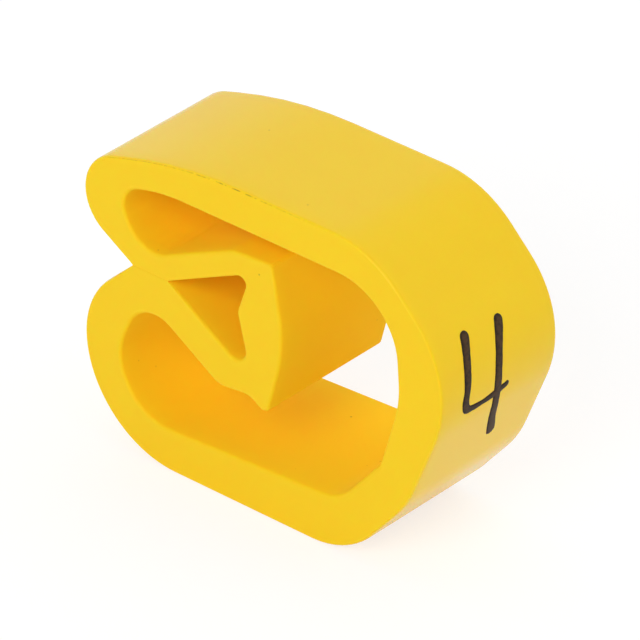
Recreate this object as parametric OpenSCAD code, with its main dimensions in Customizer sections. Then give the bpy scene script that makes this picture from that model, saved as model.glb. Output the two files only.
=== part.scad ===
// Closed-ring cable marker, cut from an extruded soft plastic section.
// The section is a ring that folds in on itself at the left. Two arms run in from the lobes, touch at a slit,
// and carry an arrow-shaped fold that presses the cable against the label wall at the right.
// X runs from the lobes to the label wall, Y runs along the cable, and Z rises from the flat underside.

/* [Marker] */
// Length of the marker along the cable
marker_length = 4; // [2:0.1:12]
// Width of the section, from the lobes to the label wall
marker_width = 10.85; // [9.5:0.05:14]
// Height of the section, from the underside to the top
marker_height = 8.45; // [7.9:0.05:10]

/* [Walls] */
// Thickness of the top wall
top_wall = 1.05; // [0.7:0.05:1.3]
// Thickness of the sloping wall over the upper lobe
brow_wall = 0.82; // [0.6:0.02:1]
// Thickness of the label wall where it stands upright
label_wall = 1.28; // [0.8:0.02:1.8]
// Thickness of the label wall half way down its slope
slope_wall = 1.16; // [0.8:0.02:1.6]
// Thickness of the slanting wall under the label
chin_wall = 1.14; // [0.8:0.02:1.6]
// Thickness of the underside wall at the chin
underside_wall = 1.42; // [0.9:0.02:1.7]
// Thickness of the underside wall at the heel
heel_wall = 1.06; // [0.8:0.02:1.5]
// Thickness of the lower lobe at its left
lower_lobe_wall = 1.12; // [0.8:0.02:1.4]
// Thickness of the upper lobe at its left
upper_lobe_wall = 1.08; // [0.8:0.02:1.3]
// Thickness of the upper arm
upper_arm_wall = 0.65; // [0.5:0.05:0.9]
// Thickness of the lower arm
lower_arm_wall = 1.04; // [0.7:0.02:1.3]
// Thickness of the wall across the front of the fold
fold_wall = 1.08; // [0.7:0.02:1.3]

/* [Label side] */
// Angle of the chin above the underside
chin_angle = 50; // [42:1:58]
// Height at which the chin turns into the label slope
chin_height = 2.1; // [1.6:0.05:2.8]
// Angle of the label slope above the underside
label_angle = 68; // [62:1:76]
// Height at which the label slope turns upright
nose_height = 4.6; // [4:0.05:5.2]
// Height of the slanting shoulder below the top
shoulder_drop = 2.15; // [1.6:0.05:2.6]
// Radius between the underside and the chin
chin_radius = 2.4; // [1.5:0.1:3]
// Radius at both ends of the label slope
label_radius = 3.2; // [2:0.1:4]
// Radius at both ends of the shoulder
shoulder_radius = 2.8; // [1.2:0.1:3.2]

/* [Lobes] */
// Distance that the upper lobe stays behind the lower one
upper_lobe_setback = 0.05; // [0:0.01:0.3]
// Height lost by the sloping wall over the upper lobe
brow_drop = 0.9; // [0.5:0.05:1.2]
// Angle of the sloping wall over the upper lobe
brow_angle = 17; // [8:1:20]
// Radius between the top and the sloping wall
brow_radius = 12; // [2:0.5:14]
// Radius of the upper lobe
upper_lobe_radius = 1.25; // [0.6:0.05:1.3]
// Radius of the lower lobe beside the slit
lower_lobe_radius = 2.3; // [1.2:0.1:2.6]
// Radius of the lower lobe beside the underside
heel_radius = 2.85; // [2:0.05:3.2]

/* [Slit] */
// Height of the slit above the underside
slit_height = 5.15; // [4.8:0.05:5.5]
// Depth of the notch that leads into the slit
notch_depth = 1.52; // [1:0.02:1.9]
// Angle of the upper side of the notch
upper_lip_angle = 30; // [22:1:38]
// Angle of the lower side of the notch
lower_lip_angle = 42; // [34:1:48]
// Length over which the two arms touch
slit_length = 1.1; // [0.6:0.05:1.5]
// Width left between the two arms
slit_gap = 0.02; // [0.01:0.01:0.2]
// Radius of the lips at the notch and at the pocket
lip_radius = 0.12; // [0.05:0.01:0.3]

/* [Fold] */
// Distance from the lower lobe to the front of the fold
fold_reach = 6.18; // [5.6:0.02:6.8]
// Distance that the front of the fold bows out past its ends
fold_bow = 0.38; // [0.1:0.02:0.5]
// Clear height between the fold and the top wall
neck_gap = 0.54; // [0.2:0.02:0.8]
// Width of the top of the fold
fold_flat = 1.2; // [0.6:0.05:1.5]
// Height lost by the top of the fold towards the upper arm
fold_flat_drop = 0.08; // [0:0.01:0.2]
// Clear height between the tip of the fold and the underside wall
tip_gap = 1.32; // [1:0.02:1.7]
// Distance that the tip of the fold stays behind its upper corner
tip_setback = 0.18; // [0:0.02:0.4]
// Length of the tip
tip_length = 0.58; // [0.4:0.02:0.8]
// Height of the tip below the hollow behind it
tip_height = 0.32; // [0.1:0.02:0.4]
// Distance from the hollow behind the tip to the bend of the lower arm
arm_bend = 0.9; // [0.6:0.02:1.2]
// Height of the bend of the lower arm below the hollow
arm_bend_drop = 0.1; // [0.05:0.01:0.3]
// Distance that the bead in the pocket stands out from the fold
bead_height = 0.4; // [0.1:0.02:0.6]
// Height of the bead above the middle of the fold
bead_rise = 0.4; // [0:0.05:0.6]
// Radius of the bead in the pocket
bead_radius = 0.4; // [0.1:0.05:0.8]
// Radius of the upper corner of the pocket
pocket_roof_radius = 0.17; // [0.08:0.01:0.3]
// Radius of the lower corner of the pocket
pocket_floor_radius = 0.28; // [0.1:0.01:0.35]
// Radius where the upper arm meets the fold
upper_arm_radius = 1.2; // [0.5:0.1:2]
// Radius of the upper corner of the fold
fold_corner_radius = 0.12; // [0.05:0.01:0.3]
// Radius of the bowed front of the fold
fold_front_radius = 4; // [1:0.5:6]
// Radius of the tip of the fold
tip_radius = 0.18; // [0.08:0.02:0.3]
// Radius of the hollow behind the tip
hollow_radius = 0.4; // [0.2:0.05:0.8]
// Radius at the bend of the lower arm
lower_arm_radius = 0.6; // [0.3:0.05:1]

/* [Cable passage] */
// Angle of the label slope on the inside
inner_label_angle = 74; // [66:1:80]
// Angle that the inside of the label wall leans in above its slope
label_lean_angle = 4; // [0:1:8]
// Angle that the upper lobe's inner wall leans away from upright
upper_lean_angle = 30; // [15:1:36]
// Height at which the upper lobe has its wall thickness
upper_lean_height = 6.75; // [6.5:0.05:7]
// Angle that the lower lobe's inner wall leans away from upright
lean_angle = 25; // [10:1:26]
// Height at which that wall starts to lean
lean_height = 2.9; // [2.7:0.05:3.3]
// Radius where that wall starts to lean
lean_radius = 1.5; // [0.5:0.1:2]
// Radius inside the chin
inner_chin_radius = 1.3; // [0.4:0.1:1.6]
// Radius inside the foot of the label slope
inner_foot_radius = 0.5; // [0.2:0.1:1]
// Radius inside the nose
inner_nose_radius = 2.6; // [1:0.1:3]
// Radius inside the shoulder
inner_shoulder_radius = 1.75; // [1:0.05:2]
// Radius inside the bend between the top and the sloping wall
inner_brow_radius = 5; // [2:0.5:8]
// Radius inside the upper lobe, under the sloping wall
inner_crown_radius = 0.6; // [0.2:0.05:0.7]
// Radius inside the upper lobe, over the arm
inner_upper_lobe_radius = 0.85; // [0.5:0.05:1]
// Radius inside the lower lobe, under the arm
inner_lower_lobe_radius = 0.85; // [0.5:0.05:1.3]
// Radius inside the heel
inner_heel_radius = 1.6; // [0.8:0.1:1.7]

/* [Hidden] */
ring_colour = "#F4CC2C";
arc_step = 4;
least_step = 0.0005;

lobe_x = -marker_width / 2;
upper_lobe_x = lobe_x + upper_lobe_setback;
nose_x = marker_width / 2;

// An edge is a point on it and the angle it runs at, with the plastic on its left.
function heading(angle) = [cos(angle), sin(angle)];
function inset(edge, wall) = [edge[0] + wall * heading(edge[1] + 90), edge[1]];
function point_at_height(edge, height) = [edge[0].x + (height - edge[0].y) / tan(edge[1]), height];
function edge_through(start, end) = [start, atan2(end.y - start.y, end.x - start.x)];

// Point where two edges meet.
function meet(a, b) =
    let (along_a = heading(a[1]), along_b = heading(b[1]))
    a[0] + along_a * cross(b[0] - a[0], along_b) / cross(along_a, along_b);

// Edge through a point that passes a target at a given distance, on its left for a positive distance.
function edge_past(start, target, distance) =
    let (straight = edge_through(start, target))
    [start, straight[1] - asin(distance / norm(target - start))];

// A corner is a point and the radius that rounds it. The round takes this length of the edges beside it.
function neighbour(corners, i) = corners[(i + len(corners)) % len(corners)];
function span(corners, i) = neighbour(corners, i + 1)[0] - neighbour(corners, i)[0];
function bearing(vector) = atan2(vector.y, vector.x);
function wrap(angle) = angle - 360 * round(angle / 360);
function turn(corners, i) = wrap(bearing(span(corners, i)) - bearing(span(corners, i - 1)));
function wanted(corners, i) = neighbour(corners, i)[1] * abs(tan(turn(corners, i) / 2));

// Two rounds on a short edge share it, so that a radius never outgrows its walls.
function share(corners, i, other, edge_length) =
    edge_length * wanted(corners, i) / max(wanted(corners, i) + wanted(corners, other), edge_length);
function fitted(corners, i) =
    wanted(corners, i) == 0 ? 0 : min(
        wanted(corners, i),
        share(corners, i, i - 1, norm(span(corners, i - 1))),
        share(corners, i, i + 1, norm(span(corners, i)))
    );

// Points of the arc at one corner.
function arc(corners, i) =
    let (
        swing = turn(corners, i),
        length_used = fitted(corners, i),
        radius = length_used / abs(tan(swing / 2)),
        arrive = bearing(span(corners, i - 1)),
        side = sign(swing),
        start = neighbour(corners, i)[0] - length_used * heading(arrive),
        centre = start + radius * heading(arrive + 90 * side),
        steps = ceil(abs(swing) / arc_step)
    )
    [for (k = [0 : steps]) centre - radius * heading(arrive + 90 * side + swing * k / steps)];

// Points of a whole outline. Where two rounds fill an edge, the point that they share is kept once.
function outline(corners) =
    let (
        points = [for (i = [0 : len(corners) - 1]) each arc(corners, i)],
        count = len(points)
    )
    [for (k = [0 : count - 1]) if (norm(points[(k + 1) % count] - points[k]) > least_step) points[k]];

// Edges of the outside, from the underside round the label wall and over the top to the lobes.
underside = [[0, 0], 0];
label_slope = [[nose_x, nose_height], label_angle];
chin = [point_at_height(label_slope, chin_height), chin_angle];
nose = [[nose_x, 0], 90];
shoulder = [[nose_x, marker_height - shoulder_drop], 135];
top = [[0, marker_height], 180];
brow = [[upper_lobe_x, marker_height - brow_drop], 180 + brow_angle];
upper_lobe = [[upper_lobe_x, 0], -90];
lower_lobe = [[lobe_x, 0], -90];

// The notch, and the slit that runs from it to the pocket.
notch_x = lobe_x + notch_depth;
pocket_x = notch_x + slit_length;
upper_lip = [notch_x, slit_height + slit_gap / 2];
lower_lip = [notch_x, slit_height - slit_gap / 2];
upper_mouth = [pocket_x, slit_height + slit_gap / 2];
lower_mouth = [pocket_x, slit_height - slit_gap / 2];
upper_notch = [upper_lip, -upper_lip_angle];
lower_notch = [lower_lip, 180 + lower_lip_angle];

// The fold, as the cable meets it.
fold_x = lobe_x + fold_reach;
fold_top = marker_height - top_wall - neck_gap;
fold_corner = [fold_x - fold_bow, fold_top];
arm_top = [fold_corner.x - fold_flat, fold_top - fold_flat_drop];
tip = [fold_corner.x - tip_setback, underside_wall + tip_gap];
hollow = [tip.x - tip_length, tip.y + tip_height];
arm_bottom = [hollow.x - arm_bend, hollow.y - arm_bend_drop];
fold_middle = (fold_top + tip.y) / 2;
fold_front = [fold_x, fold_middle];

// The pocket behind the fold keeps the thickness of the two arms and of the fold.
pocket_roof = edge_past(upper_mouth, arm_top, upper_arm_wall);
pocket_floor_out = edge_past(lower_mouth, arm_bottom, -lower_arm_wall);
pocket_floor = [pocket_floor_out[0], pocket_floor_out[1] + 180];
pocket_back = [[fold_x - fold_wall, 0], -90];
bead = [fold_x - fold_wall - bead_height, fold_middle + bead_rise];

outside_corners = [
    [meet(underside, chin), chin_radius],
    [meet(chin, label_slope), label_radius],
    [meet(label_slope, nose), label_radius],
    [meet(nose, shoulder), shoulder_radius],
    [meet(shoulder, top), shoulder_radius],
    [meet(top, brow), brow_radius],
    [meet(brow, upper_lobe), upper_lobe_radius],
    [meet(upper_lobe, upper_notch), upper_lobe_radius],
    [upper_lip, lip_radius],
    [upper_mouth, lip_radius],
    [meet(pocket_roof, pocket_back), pocket_roof_radius],
    [bead, bead_radius],
    [meet(pocket_back, pocket_floor), pocket_floor_radius],
    [lower_mouth, lip_radius],
    [lower_lip, lip_radius],
    [meet(lower_notch, lower_lobe), lower_lobe_radius],
    [meet(lower_lobe, underside), heel_radius],
];

// Edges of the cable passage, each a wall thickness inside the outside.
inner_nose = [[nose_x - label_wall, nose_height], 90 + label_lean_angle];
slope_middle = point_at_height(label_slope, (chin_height + nose_height) / 2);
inner_label = [inset([slope_middle, label_angle], slope_wall)[0], inner_label_angle];
inner_chin = inset(chin, chin_wall);
inner_top = inset(top, top_wall);
inner_brow = inset(brow, brow_wall);
inner_upper_lobe = [[upper_lobe_x + upper_lobe_wall, upper_lean_height], upper_lean_angle - 90];
upper_arm = inset(pocket_roof, upper_arm_wall);
lower_arm = inset(pocket_floor, lower_arm_wall);
lean_foot = [lobe_x + lower_lobe_wall, lean_height];
lean = [lean_foot, -90 - lean_angle];
heel_corner = [lean_foot.x, heel_wall];
chin_corner = point_at_height(inner_chin, underside_wall);

passage_corners = [
    [chin_corner, inner_chin_radius],
    [meet(inner_chin, inner_label), inner_foot_radius],
    [meet(inner_label, inner_nose), inner_nose_radius],
    [meet(inner_nose, inner_top), inner_shoulder_radius],
    [meet(inner_top, inner_brow), inner_brow_radius],
    [meet(inner_brow, inner_upper_lobe), inner_crown_radius],
    [meet(inner_upper_lobe, upper_arm), inner_upper_lobe_radius],
    [arm_top, upper_arm_radius],
    [fold_corner, fold_corner_radius],
    [fold_front, fold_front_radius],
    [tip, tip_radius],
    [hollow, hollow_radius],
    [arm_bottom, lower_arm_radius],
    [meet(lower_arm, lean), inner_lower_lobe_radius],
    [lean_foot, lean_radius],
    [heel_corner, inner_heel_radius],
];

module section() {
    difference() {
        polygon(outline(outside_corners));
        polygon(outline(passage_corners));
    }
}

module marker_ring() {
    color(ring_colour)
        rotate([90, 0, 0])
            linear_extrude(height = marker_length, center = true)
                section();
}

marker_ring();
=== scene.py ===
"""Closed-ring cable marker of soft yellow PVC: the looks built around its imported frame.

The ring is one length of extrusion, swept from the frame's own section with softened cut edges.
The legend is a plain number in raised ink, laid on the label wall.
"""
import math

import bmesh
import bpy
import numpy as np
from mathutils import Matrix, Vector


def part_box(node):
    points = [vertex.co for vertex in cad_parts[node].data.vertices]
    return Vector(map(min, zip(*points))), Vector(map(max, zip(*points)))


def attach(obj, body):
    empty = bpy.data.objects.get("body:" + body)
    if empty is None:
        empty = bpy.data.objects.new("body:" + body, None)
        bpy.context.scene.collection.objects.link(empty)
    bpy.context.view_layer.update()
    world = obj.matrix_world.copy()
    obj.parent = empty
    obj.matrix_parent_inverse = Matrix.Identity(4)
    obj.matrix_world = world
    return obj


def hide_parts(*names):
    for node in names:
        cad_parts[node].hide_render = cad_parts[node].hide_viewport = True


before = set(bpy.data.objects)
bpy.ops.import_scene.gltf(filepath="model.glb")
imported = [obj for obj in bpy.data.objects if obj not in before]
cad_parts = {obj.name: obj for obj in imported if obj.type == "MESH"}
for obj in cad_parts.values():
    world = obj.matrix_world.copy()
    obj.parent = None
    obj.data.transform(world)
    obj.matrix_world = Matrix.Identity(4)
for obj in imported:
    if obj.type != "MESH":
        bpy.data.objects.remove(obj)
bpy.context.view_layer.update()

MM = 0.001
low_corner, high_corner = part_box("marker_ring")
FRONT_Y = low_corner.y / MM
MARKER_LENGTH = (high_corner.y - low_corner.y) / MM

# Viewing angle of the camera, in degrees, and the place on the marker that it looks at, in millimetres
CAMERA_AZIMUTH = 41.25
CAMERA_ELEVATION = 31.7
CAMERA_AIM = Vector((1.82, -2.0, 6.0))
CAMERA_DISTANCE = 177.5
CAMERA_LENS = 444.4
CAMERA_SENSOR = 36.0
CAMERA_NEAR = 10.0

# Cut edges of the ring, in millimetres: softest inside, and crisper where the knife met the outer walls
EDGE_ROUND = 0.09
OUTER_EDGE_ROUND = 0.05
EDGE_STEPS = 4
LENGTH_STEPS = 12
# The arms touch along the slit, so its two sides are drawn this close
SHUT_GAP = 0.003
# Edges soften only where the opposite side is this far off, from none to all of the round
LIP_NEAR = 0.03
LIP_FAR = 0.2
LIP_LEAST = 0.02
# Points of an outline that are fewer steps apart than this are one stretch of wall, not opposite sides
NEIGHBOUR_STEPS = 14
# Points closer than this are one place, seen across the section and in a mesh
SAME_PLACE = 0.001
WELD_DISTANCE = 0.0001
# A face this square to the cable is a cut face, and lines that turn less than this are parallel
SQUARE = 0.99
PARALLEL = 1e-9
# Waves that the die leaves all along the walls
DIE_WAVE_DEPTH = 0.02
DIE_WAVE_LENGTH = 2.2

# A broken dark hairline along the front top edge, as (x in millimetres, strength). It lies above this
# height, where the wall faces up at least this much.
BURR_ALONG = ((-4.8, 0.0), (-4.5, 0.4), (-2.0, 0.45), (-1.7, 1.0), (-0.3, 1.0), (0.0, 0.35), (0.6, 0.0))
BURR_HEIGHT = 7.6
BURR_FACING = 0.5

# Legend strokes on the label wall, as (y, z, half width) in millimetres, each from its start to its end
LEGEND_STROKES = (
    ((-0.86, 6.52, 0.14), (-1.02, 5.9, 0.125), (-1.1, 5.2, 0.11), (-1.13, 4.82, 0.115), (-1.05, 4.65, 0.115),
     (-0.85, 4.6, 0.09), (-0.5, 4.59, 0.078), (-0.15, 4.62, 0.1), (0.02, 4.65, 0.13), (0.18, 4.68, 0.09),
     (0.38, 4.73, 0.085)),
    ((0.28, 6.46, 0.14), (0.04, 5.7, 0.12), (-0.02, 4.9, 0.125), (0.1, 4.0, 0.12), (0.42, 3.1, 0.135)),
)
STROKE_HALF_WIDTH = 0.12
# Raised ink: its height at the crown, its mesh, and the length and share of the waver in its width
INK_HEIGHT = 0.02
INK_STEP = 0.025
INK_SIDES = 16
INK_WAVER = 0.3
INK_UNEVEN = 0.12
# Share of the width left at the very tip of a stroke, squared, and a place well outside the label wall
TIP_LEAST = 0.02
OUTSIDE = 20.0

# Strength of the surroundings in front and behind, and how far to each side the one turns into the other
FRONT_LIGHT = 0.41
BACK_LIGHT = 0.95
LIGHT_TURN = 0.4
# Light goes from wall to wall inside the bright ring this many times
LIGHT_BOUNCES = 7
# Soft boxes as (name, azimuth, elevation, distance and size in millimetres, share of the light that falls
# on a white card facing the box)
SOFT_BOXES = (
    ("front_soft_box", 15.0, 36.0, 300.0, 160.0, 0.44),
)
BOX_AIM = Vector((0.0, 0.0, 4.0))
# White paper floor: half its width, the size of its fibre, the plain white that it shows, the share of the
# light and shadow on it that it shows too, and how much of this is kept in reflections
FLOOR_REACH = 3000.0
PAPER_FIBRE = 0.5
FLOOR_GLOW = 0.72
FLOOR_SHADE = 0.35
FLOOR_REFLECTED = 0.6
PAPER_LIGHT = "#FDFDFD"
PAPER_DEEP = "#F9F9F9"


def linear(hex_colour):
    """An sRGB hex colour as linear RGBA."""
    parts = [int(hex_colour[i:i + 2], 16) / 255 for i in (1, 3, 5)]
    return [c / 12.92 if c <= 0.04045 else ((c + 0.055) / 1.055) ** 2.4 for c in parts] + [1.0]


def add(tree, kind, inputs=None, **settings):
    """Adds a node with its settings. Inputs are values, nodes or outputs of nodes, by name or place."""
    made = tree.nodes.new(kind)
    for name, value in settings.items():
        setattr(made, name, value)
    for key, value in (inputs or {}).items():
        several = isinstance(value, tuple) and isinstance(value[0], bpy.types.Node)
        for source in value if several else (value,):
            if isinstance(source, bpy.types.Node):
                source = source.outputs[0]
            if isinstance(source, bpy.types.NodeSocket):
                tree.links.new(source, made.inputs[key])
            else:
                made.inputs[key].default_value = source
    return made


def new_material(name):
    """An empty material with its shader, and a vector node that gives object coordinates in millimetres."""
    material = bpy.data.materials.new(name)
    material.use_nodes = True
    tree = material.node_tree
    tree.nodes.clear()
    place = add(tree, "ShaderNodeTexCoord")
    place_mm = add(tree, "ShaderNodeVectorMath", {
        0: place.outputs["Object"], "Scale": 1 / MM}, operation="SCALE")
    shader = add(tree, "ShaderNodeBsdfPrincipled")
    add(tree, "ShaderNodeOutputMaterial", {"Surface": shader})
    return material, tree, shader, place_mm


def dress(tree, shader, links, values):
    """Links these outputs to the shader's inputs, and sets these values on others."""
    for name, output in links.items():
        tree.links.new(output, shader.inputs[name])
    for name, value in values.items():
        shader.inputs[name].default_value = value


# Soft PVC, extruded through a die and cut with a knife. Full yellow pigment, a satin skin that catches the
# white surroundings at flat angles, light that sinks in and softens the edges, die lines along the walls and
# fine drag lines of the knife on the duller cut faces.
PVC_LIGHT = "#FDD314"
PVC_DEEP = "#FACC10"
PVC_SPECK = "#6B4A08"
BURR_HAIRLINE = "#7A5E14"
MOTTLE_SIZE = 2.5
SPECK_SPACING = 0.95
SPECK_RADIUS = 0.035
SPECK_CORE = 0.3
SPECK_STRENGTH = 0.6
DIE_LINE_WIDTH = 0.09
DIE_LINE_LENGTH = 9.0
KNIFE_LINE_WIDTH = 0.07
KNIFE_LINE_LENGTH = 2.5
KNIFE_ANGLE = 28
LINE_DEPTH = 0.01
LINE_STRENGTH = 0.05
WALL_ROUGHNESS = (0.17, 0.21)
INNER_ROUGHNESS = 0.85
CUT_ROUGHNESS = 0.6
# How squarely a surface faces along the cable: from wall to cut face, and from cut face to its rounded edge
CUT_FACING = (0.6, 0.9)
EDGE_FACING = (0.97, 0.9)
BURR_DASH = 0.13
BURR_BREAKS = (0.38, 0.6)
BURR_WIDTH = 0.05


def pvc_pigment(tree, place):
    """Yellow that varies a little from place to place, with a few dark specks."""
    mottle = add(tree, "ShaderNodeTexNoise", {"Vector": place, "Scale": 1 / MOTTLE_SIZE, "Detail": 3.0})
    pigment = add(tree, "ShaderNodeMix", {
        "Factor": mottle.outputs["Fac"], 6: linear(PVC_DEEP), 7: linear(PVC_LIGHT)}, data_type="RGBA")
    distance = add(tree, "ShaderNodeTexVoronoi", {"Vector": place, "Scale": 1 / SPECK_SPACING})
    radius = SPECK_RADIUS / SPECK_SPACING
    speck = add(tree, "ShaderNodeMapRange", {
        "Value": distance.outputs["Distance"], "From Min": radius, "From Max": SPECK_CORE * radius,
        "To Max": SPECK_STRENGTH})
    return add(tree, "ShaderNodeMix", {
        "Factor": speck.outputs[0], 6: pigment.outputs[2], 7: linear(PVC_SPECK)}, data_type="RGBA")


def knife_burr(tree, place, squareness, cut):
    """A broken dark hairline on the front top edge."""
    rounded = add(tree, "ShaderNodeMapRange", {
        "Value": squareness, "From Min": EDGE_FACING[0], "From Max": EDGE_FACING[1]})
    axes = add(tree, "ShaderNodeSeparateXYZ", {0: place})
    front = add(tree, "ShaderNodeMapRange", {
        "Value": axes.outputs["Y"], "From Min": FRONT_Y + BURR_WIDTH,
        "From Max": FRONT_Y + BURR_WIDTH / 2})
    dashes = add(tree, "ShaderNodeTexNoise", {"Vector": place, "Scale": 1 / BURR_DASH, "Detail": 2.0})
    burr = add(tree, "ShaderNodeMapRange", {
        "Value": dashes.outputs["Fac"], "From Min": BURR_BREAKS[0], "From Max": BURR_BREAKS[1]})
    along = add(tree, "ShaderNodeAttribute", attribute_name="burr")
    for limit in (along.outputs["Fac"], front, rounded, cut):
        burr = add(tree, "ShaderNodeMath", {0: burr, 1: limit}, operation="MULTIPLY")
    return burr


def skin_lines(tree, place, cut):
    """Height of the die lines on the walls and of the knife's drag lines on the cut faces."""
    die_place = add(tree, "ShaderNodeMapping", {
        "Vector": place, "Scale": (1 / DIE_LINE_WIDTH, 1 / DIE_LINE_LENGTH, 1 / DIE_LINE_WIDTH)})
    die_lines = add(tree, "ShaderNodeTexNoise", {"Vector": die_place, "Scale": 1.0, "Detail": 2.0})
    knife_place = add(tree, "ShaderNodeMapping", {
        "Vector": place, "Rotation": (0.0, math.radians(KNIFE_ANGLE), 0.0),
        "Scale": (1 / KNIFE_LINE_LENGTH, 1.0, 1 / KNIFE_LINE_WIDTH)})
    knife_lines = add(tree, "ShaderNodeTexNoise", {"Vector": knife_place, "Scale": 1.0, "Detail": 2.0})
    return add(tree, "ShaderNodeMix", {
        "Factor": cut, 2: die_lines.outputs["Fac"], 3: knife_lines.outputs["Fac"]}, data_type="FLOAT")


def soft_pvc():
    """Yellow PVC: glossier on the outer walls, dull inside the ring and on the cut faces."""
    material, tree, shader, place = new_material("extruded soft PVC")
    surface = add(tree, "ShaderNodeNewGeometry")
    facing = add(tree, "ShaderNodeSeparateXYZ", {0: surface.outputs["Normal"]})
    squareness = add(tree, "ShaderNodeMath", {0: facing.outputs["Y"]}, operation="ABSOLUTE")
    cut = add(tree, "ShaderNodeMapRange", {
        "Value": squareness, "From Min": CUT_FACING[0], "From Max": CUT_FACING[1]})
    burr = knife_burr(tree, place, squareness, cut)
    # Darkened in a broken hairline along the front top edge
    colour = add(tree, "ShaderNodeMix", {
        "Factor": burr, 6: pvc_pigment(tree, place).outputs[2], 7: linear(BURR_HAIRLINE)}, data_type="RGBA")

    lines = skin_lines(tree, place, cut)
    bump = add(tree, "ShaderNodeBump", {
        "Strength": LINE_STRENGTH, "Distance": LINE_DEPTH * MM, "Height": lines})
    satin = add(tree, "ShaderNodeMapRange", {
        "Value": lines, "To Min": WALL_ROUGHNESS[0], "To Max": WALL_ROUGHNESS[1]})
    inside = add(tree, "ShaderNodeAttribute", attribute_name="inner")
    walls = add(tree, "ShaderNodeMix", {
        "Factor": inside.outputs["Fac"], 2: satin, 3: INNER_ROUGHNESS}, data_type="FLOAT")
    dull = add(tree, "ShaderNodeMix", {"Factor": cut, 2: walls, 3: CUT_ROUGHNESS}, data_type="FLOAT")

    dress(tree, shader, {
        "Base Color": colour.outputs[2], "Roughness": dull.outputs[0], "Normal": bump.outputs[0],
    }, {
        "IOR": 1.53, "Specular IOR Level": 0.22, "Subsurface Weight": 0.4,
        "Subsurface Radius": (0.2, 0.9, 0.3), "Subsurface Scale": 0.12 * MM,
    })
    return material


# Printing ink, laid on wet and dried to a raised skin. Dark brown and mottled on the crown, nearly black in
# the rim that it dried into at its edge, with a faint sheen. The crown's lighter brown is partly painted
# sheen.
INK_THICK_AND_SHEEN = "#4A341C"
INK_THIN = "#150C03"
INK_GRAIN = 0.09
INK_CROWN_AND_SHEEN = (0.2, 0.6)
INK_ROUGHNESS = (0.45, 0.7)
INK_GRAIN_DEPTH = 0.01
INK_GRAIN_STRENGTH = 0.3


def legend_ink():
    """Black-brown ink that is darkest where it lies thin, and lighter on its crown with a painted sheen."""
    material, tree, shader, place = new_material("dried printing ink")
    depth = add(tree, "ShaderNodeAttribute", attribute_name="ink_depth")
    grain = add(tree, "ShaderNodeTexNoise", {"Vector": place, "Scale": 1 / INK_GRAIN, "Detail": 3.0})
    cover = add(tree, "ShaderNodeMath", {
        0: grain.outputs["Fac"], 1: depth.outputs["Fac"]}, operation="MULTIPLY")
    crown_and_sheen = add(tree, "ShaderNodeMapRange", {
        "Value": cover, "From Min": INK_CROWN_AND_SHEEN[0], "From Max": INK_CROWN_AND_SHEEN[1]})
    # The crown takes the lighter brown, which is the ink's own colour with a painted sheen on it
    colour = add(tree, "ShaderNodeMix", {
        "Factor": crown_and_sheen.outputs[0], 6: linear(INK_THIN), 7: linear(INK_THICK_AND_SHEEN)}, data_type="RGBA")
    gloss = add(tree, "ShaderNodeMapRange", {
        "Value": grain.outputs["Fac"], "To Min": INK_ROUGHNESS[0], "To Max": INK_ROUGHNESS[1]})
    bump = add(tree, "ShaderNodeBump", {
        "Strength": INK_GRAIN_STRENGTH, "Distance": INK_GRAIN_DEPTH * MM, "Height": grain.outputs["Fac"]})
    dress(tree, shader, {
        "Base Color": colour.outputs[2], "Roughness": gloss.outputs[0], "Normal": bump.outputs[0],
    }, {"IOR": 1.5, "Specular IOR Level": 0.2})
    return material


def section_outlines(node):
    """The section's closed outlines as arrays of (x, z) in millimetres, with the plastic on their left."""
    merged = bmesh.new()
    merged.from_mesh(node.data)
    bmesh.ops.remove_doubles(merged, verts=merged.verts, dist=WELD_DISTANCE * MM)
    front = {face for face in merged.faces if face.normal.y < -SQUARE}
    following = {}
    for face in front:
        for corner in face.loops:
            if sum(other in front for other in corner.edge.link_faces) == 1:
                following[corner.vert] = corner.link_loop_next.vert
    outlines = []
    while following:
        point, after = following.popitem()
        points = [point]
        while after in following:
            points.append(after)
            after = following.pop(after)
        outlines.append(np.array([(p.co.x, p.co.z) for p in points]) / MM)
    merged.free()
    return sorted(outlines, key=len)


def outward_of(points):
    """Directions out of the plastic at each point of an outline."""
    along = np.roll(points, -1, 0) - points
    along /= np.linalg.norm(along, axis=1)[:, None]
    aside = np.stack([along[:, 1], -along[:, 0]], 1)
    mean = aside + np.roll(aside, 1, 0)
    return mean / np.linalg.norm(mean, axis=1)[:, None]


def free_gaps(points):
    """Distance from each point of an outline to the nearest stretch of it that is not its own neighbour."""
    count = len(points)
    order = np.arange(count)
    steps = np.abs(order[:, None] - order[None, :])
    steps = np.minimum(steps, count - steps)
    gaps = np.linalg.norm(points[:, None] - points[None, :], axis=2)
    gaps[steps < NEIGHBOUR_STEPS] = np.inf
    return gaps.min(1)


def sheltered(points, away, starts, ends):
    """1 for each point of an outline that faces another part of the section, 0 where it faces open air."""
    along = ends - starts
    offset = starts[None] - points[:, None]
    turn = away[:, None, 0] * along[None, :, 1] - away[:, None, 1] * along[None, :, 0]
    turn = np.where(np.abs(turn) < PARALLEL, PARALLEL, turn)
    distance = (offset[..., 0] * along[None, :, 1] - offset[..., 1] * along[None, :, 0]) / turn
    share = (offset[..., 0] * away[:, None, 1] - offset[..., 1] * away[:, None, 0]) / turn
    return ((distance > SAME_PLACE) & (share >= 0) & (share <= 1)).any(1).astype(float)


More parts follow.
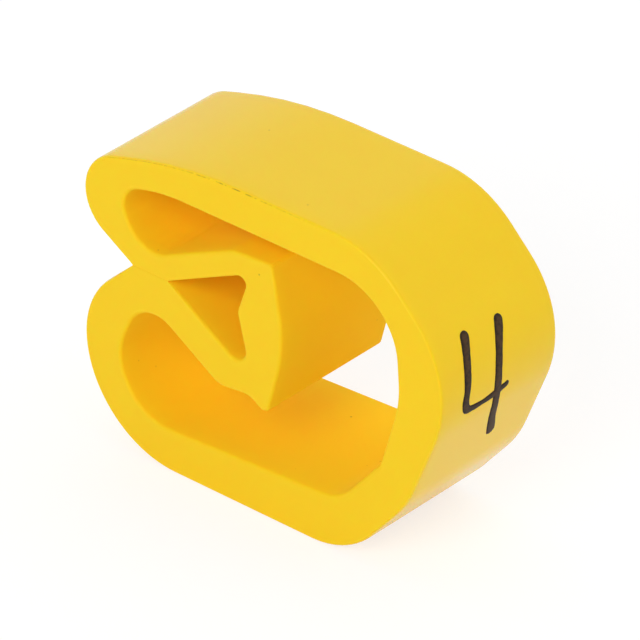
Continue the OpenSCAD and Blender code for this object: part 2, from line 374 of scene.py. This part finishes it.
def section_mesh():
    """The section as edges in millimetres in the XY plane, with what the sweep needs at each point."""
    places, edges, outward, lips, burrs, inner = [], [], [], [], [], []
    outlines = section_outlines(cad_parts["marker_ring"])
    starts = np.concatenate(outlines)
    ends = np.concatenate([np.roll(points, -1, 0) for points in outlines])
    for points in outlines:
        away = outward_of(points)
        gaps = free_gaps(points)
        shut = np.clip((gaps - SHUT_GAP) / 2, 0, None) * (gaps < LIP_NEAR)
        points = points + away * shut[:, None]
        inside = sheltered(points, away, starts, ends)
        lip = np.clip((gaps - LIP_NEAR) / (LIP_FAR - LIP_NEAR), LIP_LEAST, 1)
        lip *= np.where(inside > 0, 1, OUTER_EDGE_ROUND / EDGE_ROUND)
        on_top = (away[:, 1] > BURR_FACING) & (points[:, 1] > BURR_HEIGHT)
        burr = np.interp(points[:, 0], *zip(*BURR_ALONG)) * on_top
        first = len(places)
        count = len(points)
        edges += [(first + i, first + (i + 1) % count) for i in range(count)]
        places += [(x, y, 0.0) for x, y in points]
        outward += [(x, y, 0.0) for x, y in away]
        lips += list(lip)
        burrs += list(burr)
        inner += list(inside)
    mesh = bpy.data.meshes.new("section")
    mesh.from_pydata(places, edges, [])
    for name, kind, field, values in (
        ("home", "FLOAT_VECTOR", "vector", places), ("outward", "FLOAT_VECTOR", "vector", outward),
        ("lip", "FLOAT", "value", lips), ("burr", "FLOAT", "value", burrs),
        ("inner", "FLOAT", "value", inner),
    ):
        mesh.attributes.new(name, kind, "POINT").data.foreach_set(field, np.array(values).ravel())
    return mesh


def new_tree(name, sockets):
    """A geometry tree with these named inputs, and its input and output nodes."""
    tree = bpy.data.node_groups.new(name, "GeometryNodeTree")
    tree.interface.new_socket("Geometry", in_out="INPUT", socket_type="NodeSocketGeometry")
    for socket_name, kind in sockets:
        tree.interface.new_socket(socket_name, in_out="INPUT", socket_type=kind)
    tree.interface.new_socket("Geometry", in_out="OUTPUT", socket_type="NodeSocketGeometry")
    return tree, add(tree, "NodeGroupInput"), add(tree, "NodeGroupOutput")


def waved_section(tree, given, home, outward, lip):
    """The section with the die's waves, which run the whole length and only ever go inward."""
    scale = add(tree, "ShaderNodeMath", {0: 1.0, 1: given.outputs["Wave Length"]}, operation="DIVIDE")
    wave = add(tree, "ShaderNodeTexNoise", {"Vector": home, "Scale": scale, "Detail": 1.0})
    depth = add(tree, "ShaderNodeMath", {0: wave, 1: given.outputs["Wave Depth"]}, operation="MULTIPLY")
    calm = add(tree, "ShaderNodeMath", {0: depth, 1: lip}, operation="MULTIPLY")
    dip = add(tree, "ShaderNodeVectorMath", {0: outward, "Scale": calm}, operation="SCALE")
    waved = add(tree, "ShaderNodeVectorMath", {0: home, 1: dip}, operation="SUBTRACT")
    return add(tree, "GeometryNodeStoreNamedAttribute", {
        "Geometry": given.outputs["Geometry"], "Name": "home", "Value": waved,
    }, data_type="FLOAT_VECTOR", domain="POINT")


def ring_place(tree, given, half, ring, rings):
    """How far in a ring of the walls lies, as a share of the edge round, and its place along Z."""
    rings_left = add(tree, "ShaderNodeMath", {0: rings, 1: ring}, operation="SUBTRACT")
    from_end = add(tree, "ShaderNodeMath", {0: ring, 1: rings_left}, operation="MINIMUM")
    is_front = add(tree, "ShaderNodeMath", {0: ring, 1: rings_left}, operation="GREATER_THAN")
    side = add(tree, "ShaderNodeMath", {0: is_front, 1: 2.0, 2: -1.0}, operation="MULTIPLY_ADD")
    turned = add(tree, "ShaderNodeMath", {
        0: from_end, 1: given.outputs["Edge Steps"]}, operation="DIVIDE", use_clamp=True)
    angle = add(tree, "ShaderNodeMath", {0: turned, 1: math.pi / 2}, operation="MULTIPLY")
    sine = add(tree, "ShaderNodeMath", {0: angle}, operation="SINE")
    cosine = add(tree, "ShaderNodeMath", {0: angle}, operation="COSINE")
    share_in = add(tree, "ShaderNodeMath", {0: 1.0, 1: sine}, operation="SUBTRACT")
    share_along = add(tree, "ShaderNodeMath", {0: 1.0, 1: cosine}, operation="SUBTRACT")

    straight = add(tree, "ShaderNodeMath", {0: half, 1: given.outputs["Edge Round"]}, operation="SUBTRACT")
    half_steps = add(tree, "ShaderNodeMath", {
        0: given.outputs["Length Steps"], 1: 0.5}, operation="MULTIPLY")
    step_length = add(tree, "ShaderNodeMath", {0: straight, 1: half_steps}, operation="DIVIDE")
    past_round = add(tree, "ShaderNodeMath", {
        0: from_end, 1: given.outputs["Edge Steps"]}, operation="SUBTRACT")
    steps_along = add(tree, "ShaderNodeMath", {0: past_round, 1: 0.0}, operation="MAXIMUM")
    round_used = add(tree, "ShaderNodeMath", {
        0: share_along, 1: given.outputs["Edge Round"]}, operation="MULTIPLY")
    used = add(tree, "ShaderNodeMath", {
        0: steps_along, 1: step_length, 2: round_used}, operation="MULTIPLY_ADD")
    from_middle = add(tree, "ShaderNodeMath", {0: half, 1: used}, operation="SUBTRACT")
    station = add(tree, "ShaderNodeMath", {0: from_middle, 1: side}, operation="MULTIPLY")
    return share_in, station


def swept_walls(tree, given, first_ring, home, inset, half):
    """Adds one ring in each pass: round the back edge, along the walls, then round the front edge."""
    marked = add(tree, "GeometryNodeStoreNamedAttribute", {
        "Geometry": first_ring, "Name": "rim", "Value": True}, data_type="BOOLEAN", domain="EDGE")
    rings = add(tree, "ShaderNodeMath", {
        0: given.outputs["Edge Steps"], 1: 2.0, 2: given.outputs["Length Steps"]}, operation="MULTIPLY_ADD")
    begin = tree.nodes.new("GeometryNodeRepeatInput")
    repeat = tree.nodes.new("GeometryNodeRepeatOutput")
    begin.pair_with_output(repeat)
    tree.links.new(rings.outputs[0], begin.inputs["Iterations"])
    tree.links.new(marked.outputs[0], begin.inputs["Geometry"])

    rim = add(tree, "GeometryNodeInputNamedAttribute", {"Name": "rim"}, data_type="BOOLEAN")
    grown = add(tree, "GeometryNodeExtrudeMesh", {
        "Mesh": begin.outputs["Geometry"], "Selection": rim, "Offset Scale": 0.0}, mode="EDGES")
    ring = add(tree, "ShaderNodeMath", {0: begin.outputs["Iteration"], 1: 1.0}, operation="ADD")
    share_in, station = ring_place(tree, given, half, ring, rings)
    ring_inset = add(tree, "ShaderNodeVectorMath", {0: inset, "Scale": share_in}, operation="SCALE")
    ring_edge = add(tree, "ShaderNodeVectorMath", {0: home, 1: ring_inset}, operation="SUBTRACT")
    to_station = add(tree, "ShaderNodeCombineXYZ", {"Z": station})
    placed = add(tree, "GeometryNodeSetPosition", {
        "Geometry": grown.outputs["Mesh"], "Selection": grown.outputs["Top"],
        "Position": ring_edge, "Offset": to_station})
    next_rim = add(tree, "GeometryNodeStoreNamedAttribute", {
        "Geometry": placed, "Name": "rim", "Value": grown.outputs["Top"],
    }, data_type="BOOLEAN", domain="EDGE")
    tree.links.new(next_rim.outputs[0], repeat.inputs["Geometry"])
    outward_walls = add(tree, "GeometryNodeFlipFaces", {"Mesh": repeat})
    return add(tree, "GeometryNodeSetShadeSmooth", {"Geometry": outward_walls, "Shade Smooth": True})


def cut_faces(tree, rim, to_front, to_back):
    """The flat faces that the knife left at the front and the back."""
    closed_rim = add(tree, "GeometryNodeMeshToCurve", {"Mesh": rim})
    filled = add(tree, "GeometryNodeFillCurve", {"Curve": closed_rim})
    cut_face = add(tree, "GeometryNodeSetShadeSmooth", {"Geometry": filled, "Shade Smooth": False})
    front_face = add(tree, "GeometryNodeTransform", {"Geometry": cut_face, "Translation": to_front})
    back_place = add(tree, "GeometryNodeTransform", {"Geometry": cut_face, "Translation": to_back})
    back_face = add(tree, "GeometryNodeFlipFaces", {"Mesh": back_place})
    return front_face, back_face


def extrusion_tree():
    """Sweeps the section along Z with softened ends, closes both, and stands it up in the part's frame."""
    tree, given, result = new_tree("cut length of extrusion", (
        ("Length", "NodeSocketFloat"), ("Edge Round", "NodeSocketFloat"), ("Edge Steps", "NodeSocketInt"),
        ("Length Steps", "NodeSocketInt"), ("Wave Depth", "NodeSocketFloat"),
        ("Wave Length", "NodeSocketFloat"), ("Material", "NodeSocketMaterial")))
    home = add(tree, "GeometryNodeInputNamedAttribute", {"Name": "home"}, data_type="FLOAT_VECTOR")
    outward = add(tree, "GeometryNodeInputNamedAttribute", {"Name": "outward"}, data_type="FLOAT_VECTOR")
    lip = add(tree, "GeometryNodeInputNamedAttribute", {"Name": "lip"}, data_type="FLOAT")
    half = add(tree, "ShaderNodeMath", {0: given.outputs["Length"], 1: 0.5}, operation="MULTIPLY")
    back = add(tree, "ShaderNodeMath", {0: half, 1: -1.0}, operation="MULTIPLY")
    to_front = add(tree, "ShaderNodeCombineXYZ", {"Z": half})
    to_back = add(tree, "ShaderNodeCombineXYZ", {"Z": back})

    # The first ring is the edge of the back cut face, a full round in from the walls.
    section = waved_section(tree, given, home, outward, lip)
    soft = add(tree, "ShaderNodeMath", {0: lip, 1: given.outputs["Edge Round"]}, operation="MULTIPLY")
    inset = add(tree, "ShaderNodeVectorMath", {0: outward, "Scale": soft}, operation="SCALE")
    face_edge = add(tree, "ShaderNodeVectorMath", {0: home, 1: inset}, operation="SUBTRACT")
    face_rim = add(tree, "GeometryNodeSetPosition", {"Geometry": section, "Position": face_edge})
    first_ring = add(tree, "GeometryNodeSetPosition", {"Geometry": face_rim, "Offset": to_back})

    walls = swept_walls(tree, given, first_ring, home, inset, half)
    front_face, back_face = cut_faces(tree, face_rim, to_front, to_back)
    parts = add(tree, "GeometryNodeJoinGeometry", {"Geometry": (walls, front_face, back_face)})
    whole = add(tree, "GeometryNodeMergeByDistance", {"Geometry": parts, "Distance": WELD_DISTANCE})
    standing = add(tree, "GeometryNodeTransform", {
        "Geometry": whole, "Rotation": (math.pi / 2, 0.0, 0.0), "Scale": (MM, MM, MM)})
    real = add(tree, "GeometryNodeRealizeInstances", {"Geometry": standing})
    finished = add(tree, "GeometryNodeSetMaterial", {
        "Geometry": real, "Material": given.outputs["Material"]})
    tree.links.new(finished.outputs[0], result.inputs[0])
    return tree


def stroke_radius(tree, place):
    """Half the width of a stroke: round at its ends, and wavering as wet ink does."""
    width = add(tree, "GeometryNodeInputRadius")
    travelled = add(tree, "GeometryNodeSplineParameter")
    length = add(tree, "GeometryNodeSplineLength")
    left = add(tree, "ShaderNodeMath", {
        0: length.outputs["Length"], 1: travelled.outputs["Length"]}, operation="SUBTRACT")
    from_end = add(tree, "ShaderNodeMath", {0: travelled.outputs["Length"], 1: left}, operation="MINIMUM")
    reach = add(tree, "ShaderNodeMath", {0: from_end, 1: width}, operation="DIVIDE", use_clamp=True)
    short = add(tree, "ShaderNodeMath", {0: 1.0, 1: reach}, operation="SUBTRACT")
    square = add(tree, "ShaderNodeMath", {0: short, 1: short}, operation="MULTIPLY")
    rest = add(tree, "ShaderNodeMath", {0: 1 + TIP_LEAST, 1: square}, operation="SUBTRACT")
    tip = add(tree, "ShaderNodeMath", {0: rest}, operation="SQRT")
    waver = add(tree, "ShaderNodeTexNoise", {"Vector": place, "Scale": 1 / INK_WAVER, "Detail": 1.0})
    uneven = add(tree, "ShaderNodeMapRange", {
        "Value": waver, "To Min": 1 - INK_UNEVEN, "To Max": 1 + INK_UNEVEN})
    tipped = add(tree, "ShaderNodeMath", {0: width, 1: tip}, operation="MULTIPLY")
    return add(tree, "ShaderNodeMath", {0: tipped, 1: uneven}, operation="MULTIPLY")


def laid_on_wall(tree, given, strokes, place):
    """Strokes that were swept at X = 0, moved onto the wall. Their height there becomes the depth of ink."""
    axes = add(tree, "ShaderNodeSeparateXYZ", {0: place})
    depth = add(tree, "ShaderNodeMath", {
        0: axes.outputs["X"], 1: given.outputs["Stroke Width"]}, operation="DIVIDE")
    deep = add(tree, "GeometryNodeStoreNamedAttribute", {
        "Geometry": strokes, "Name": "ink_depth", "Value": depth}, data_type="FLOAT", domain="POINT")
    in_metres = add(tree, "ShaderNodeVectorMath", {0: place, "Scale": MM}, operation="SCALE")
    outside = add(tree, "ShaderNodeVectorMath", {0: in_metres, 1: (OUTSIDE * MM, 0.0, 0.0)}, operation="ADD")
    wall = add(tree, "GeometryNodeObjectInfo", {"Object": given.outputs["Wall"]})
    hit = add(tree, "GeometryNodeRaycast", {
        "Target Geometry": wall.outputs["Geometry"], "Source Position": outside,
        "Ray Direction": (-1.0, 0.0, 0.0)})
    height = add(tree, "ShaderNodeMath", {0: depth, 1: given.outputs["Ink Height"]}, operation="MULTIPLY")
    raised = add(tree, "ShaderNodeVectorMath", {
        0: hit.outputs["Hit Normal"], "Scale": height}, operation="SCALE")
    on_wall = add(tree, "ShaderNodeVectorMath", {0: hit.outputs["Hit Position"], 1: raised}, operation="ADD")
    return add(tree, "GeometryNodeSetPosition", {"Geometry": deep, "Position": on_wall})


def ink_tree():
    """Sweeps ink along the legend's strokes, joins them, and lays the ink on the label wall."""
    tree, given, result = new_tree("raised ink strokes", (
        ("Wall", "NodeSocketObject"), ("Step", "NodeSocketFloat"), ("Sides", "NodeSocketInt"),
        ("Ink Height", "NodeSocketFloat"), ("Stroke Width", "NodeSocketFloat"),
        ("Material", "NodeSocketMaterial")))
    place = add(tree, "GeometryNodeInputPosition")
    fine = add(tree, "GeometryNodeResampleCurve", {
        "Curve": given.outputs["Geometry"], "Length": given.outputs["Step"]}, mode="LENGTH")
    profile = add(tree, "GeometryNodeCurvePrimitiveCircle", {
        "Resolution": given.outputs["Sides"], "Radius": 1.0})
    swept = add(tree, "GeometryNodeCurveToMesh", {
        "Curve": fine, "Profile Curve": profile, "Scale": stroke_radius(tree, place), "Fill Caps": True})
    fused = add(tree, "GeometryNodeMeshBoolean", {
        "Mesh 2": swept, "Self Intersection": True}, operation="UNION", solver="EXACT")
    laid = laid_on_wall(tree, given, fused, place)
    smooth = add(tree, "GeometryNodeSetShadeSmooth", {"Geometry": laid, "Shade Smooth": True})
    real = add(tree, "GeometryNodeRealizeInstances", {"Geometry": smooth})
    finished = add(tree, "GeometryNodeSetMaterial", {
        "Geometry": real, "Material": given.outputs["Material"]})
    tree.links.new(finished.outputs[0], result.inputs[0])
    return tree


def grown_piece(name, data, tree, values):
    """Runs a geometry tree on this data and returns the result as an object with a plain mesh."""
    seed = bpy.data.objects.new(name + "_seed", data)
    bpy.context.scene.collection.objects.link(seed)
    modifier = seed.modifiers.new(tree.name, "NODES")
    modifier.node_group = tree
    for socket in tree.interface.items_tree:
        if socket.in_out == "INPUT" and socket.name in values:
            modifier[socket.identifier] = values[socket.name]
    bpy.context.view_layer.update()
    evaluated = seed.evaluated_get(bpy.context.evaluated_depsgraph_get())
    mesh = bpy.data.meshes.new_from_object(evaluated)
    mesh.name = name
    bpy.data.objects.remove(seed)
    piece = bpy.data.objects.new(name, mesh)
    bpy.context.scene.collection.objects.link(piece)
    return piece


def stroke_curves():
    """The legend's strokes as smooth curves in millimetres, flat in the YZ plane."""
    curves = bpy.data.curves.new("legend_strokes", "CURVE")
    curves.dimensions = "3D"
    for stroke in LEGEND_STROKES:
        spline = curves.splines.new("BEZIER")
        spline.bezier_points.add(len(stroke) - 1)
        for point, (y, z, half_width) in zip(spline.bezier_points, stroke):
            point.co = (0.0, y, z)
            point.radius = half_width
            point.handle_left_type = point.handle_right_type = "AUTO"
    return curves


def seen_by(tree, reflected=1.0):
    """1 for what the camera sees directly or through something clear, and this much in a reflection."""
    rays = add(tree, "ShaderNodeLightPath")
    mirror = add(tree, "ShaderNodeMath", {
        0: rays.outputs["Is Glossy Ray"], 1: reflected}, operation="MULTIPLY")
    seen = add(tree, "ShaderNodeMath", {0: rays.outputs["Is Camera Ray"], 1: mirror}, operation="MAXIMUM")
    return add(tree, "ShaderNodeMath", {0: seen, 1: rays.outputs["Is Transmission Ray"]}, operation="MAXIMUM")


def direction(azimuth, elevation):
    """The direction from the marker towards a place seen at these angles, in degrees."""
    around, up = math.radians(azimuth), math.radians(elevation)
    return Vector((math.sin(around) * math.cos(up), -math.cos(around) * math.cos(up), math.sin(up)))


def place_camera(scene):
    """The camera, at the angle that the marker is shown from."""
    back = direction(CAMERA_AZIMUTH, CAMERA_ELEVATION)
    camera = bpy.data.objects.new("camera", bpy.data.cameras.new("camera"))
    camera.data.lens = CAMERA_LENS
    camera.data.sensor_width = CAMERA_SENSOR
    camera.data.clip_start = CAMERA_NEAR * MM
    camera.location = (CAMERA_AIM + back * CAMERA_DISTANCE) * MM
    camera.rotation_euler = back.to_track_quat("Z", "Y").to_euler()
    scene.collection.objects.link(camera)
    scene.camera = camera


def surroundings(scene):
    """White to the eye all round, with less light from the front than from behind."""
    world = bpy.data.worlds.new("white studio")
    world.use_nodes = True
    tree = world.node_tree
    tree.nodes.clear()
    around = add(tree, "ShaderNodeTexCoord")
    axes = add(tree, "ShaderNodeSeparateXYZ", {0: around.outputs["Generated"]})
    light = add(tree, "ShaderNodeMapRange", {
        "Value": axes.outputs["Y"], "From Min": -LIGHT_TURN, "From Max": LIGHT_TURN,
        "To Min": FRONT_LIGHT, "To Max": BACK_LIGHT})
    strength = add(tree, "ShaderNodeMath", {0: light.outputs[0], 1: seen_by(tree)}, operation="MAXIMUM")
    background = add(tree, "ShaderNodeBackground", {"Color": (1.0, 1.0, 1.0, 1.0), "Strength": strength})
    add(tree, "ShaderNodeOutputWorld", {"Surface": background})
    scene.world = world


def soft_boxes(scene):
    """The lamps, each aimed at the marker."""
    for name, azimuth, elevation, distance, size, share in SOFT_BOXES:
        lamp = bpy.data.objects.new(name, bpy.data.lights.new(name, "AREA"))
        towards = direction(azimuth, elevation)
        lamp.data.size = size * MM
        lamp.data.energy = share * (math.pi * distance * MM) ** 2
        lamp.location = (BOX_AIM + towards * distance) * MM
        lamp.rotation_euler = towards.to_track_quat("Z", "Y").to_euler()
        scene.collection.objects.link(lamp)


def white_paper():
    """Matt paper. To the camera and in reflections, part of it is plain white and the rest takes shadow."""
    material, tree, shader, place = new_material("white paper floor")
    fibre = add(tree, "ShaderNodeTexNoise", {"Vector": place, "Scale": 1 / PAPER_FIBRE, "Detail": 2.0})
    paper = add(tree, "ShaderNodeMix", {
        "Factor": fibre, 6: linear(PAPER_DEEP), 7: linear(PAPER_LIGHT)}, data_type="RGBA")
    seen = seen_by(tree, FLOOR_REFLECTED)
    glow = add(tree, "ShaderNodeMath", {0: seen, 1: FLOOR_GLOW}, operation="MULTIPLY")
    share = add(tree, "ShaderNodeMath", {0: seen, 1: 1 - FLOOR_SHADE}, operation="MULTIPLY")
    lit = add(tree, "ShaderNodeMix", {
        "Factor": share, 6: paper.outputs[2], 7: (0.0, 0.0, 0.0, 1.0)}, data_type="RGBA")
    dress(tree, shader, {"Base Color": lit.outputs[2], "Emission Strength": glow.outputs[0]}, {
        "Roughness": 1.0, "Specular IOR Level": 0.0, "Emission Color": (1.0, 1.0, 1.0, 1.0)})
    return material


def paper_floor(scene):
    """A wide sheet of paper that the marker stands on."""
    floor = bpy.data.meshes.new("floor")
    reach = FLOOR_REACH * MM
    corners = [(-reach, -reach, 0), (reach, -reach, 0), (reach, reach, 0), (-reach, reach, 0)]
    floor.from_pydata(corners, [], [(0, 1, 2, 3)])
    floor_object = bpy.data.objects.new("floor", floor)
    scene.collection.objects.link(floor_object)
    floor.materials.append(white_paper())


def studio():
    """Camera, soft light and the pale floor."""
    scene = bpy.context.scene
    scene.view_settings.view_transform = "Standard"
    scene.cycles.diffuse_bounces = LIGHT_BOUNCES
    place_camera(scene)
    surroundings(scene)
    soft_boxes(scene)
    paper_floor(scene)


studio()

ring = grown_piece("pvc_ring", section_mesh(), extrusion_tree(), {
    "Length": MARKER_LENGTH, "Edge Round": EDGE_ROUND, "Edge Steps": EDGE_STEPS, "Length Steps": LENGTH_STEPS,
    "Wave Depth": DIE_WAVE_DEPTH, "Wave Length": DIE_WAVE_LENGTH, "Material": soft_pvc()})
legend = grown_piece("printed_legend", stroke_curves(), ink_tree(), {
    "Wall": ring, "Step": INK_STEP, "Sides": INK_SIDES, "Ink Height": INK_HEIGHT * MM,
    "Stroke Width": STROKE_HALF_WIDTH, "Material": legend_ink()})

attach(ring, "root")
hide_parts("marker_ring")
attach(legend, "root")
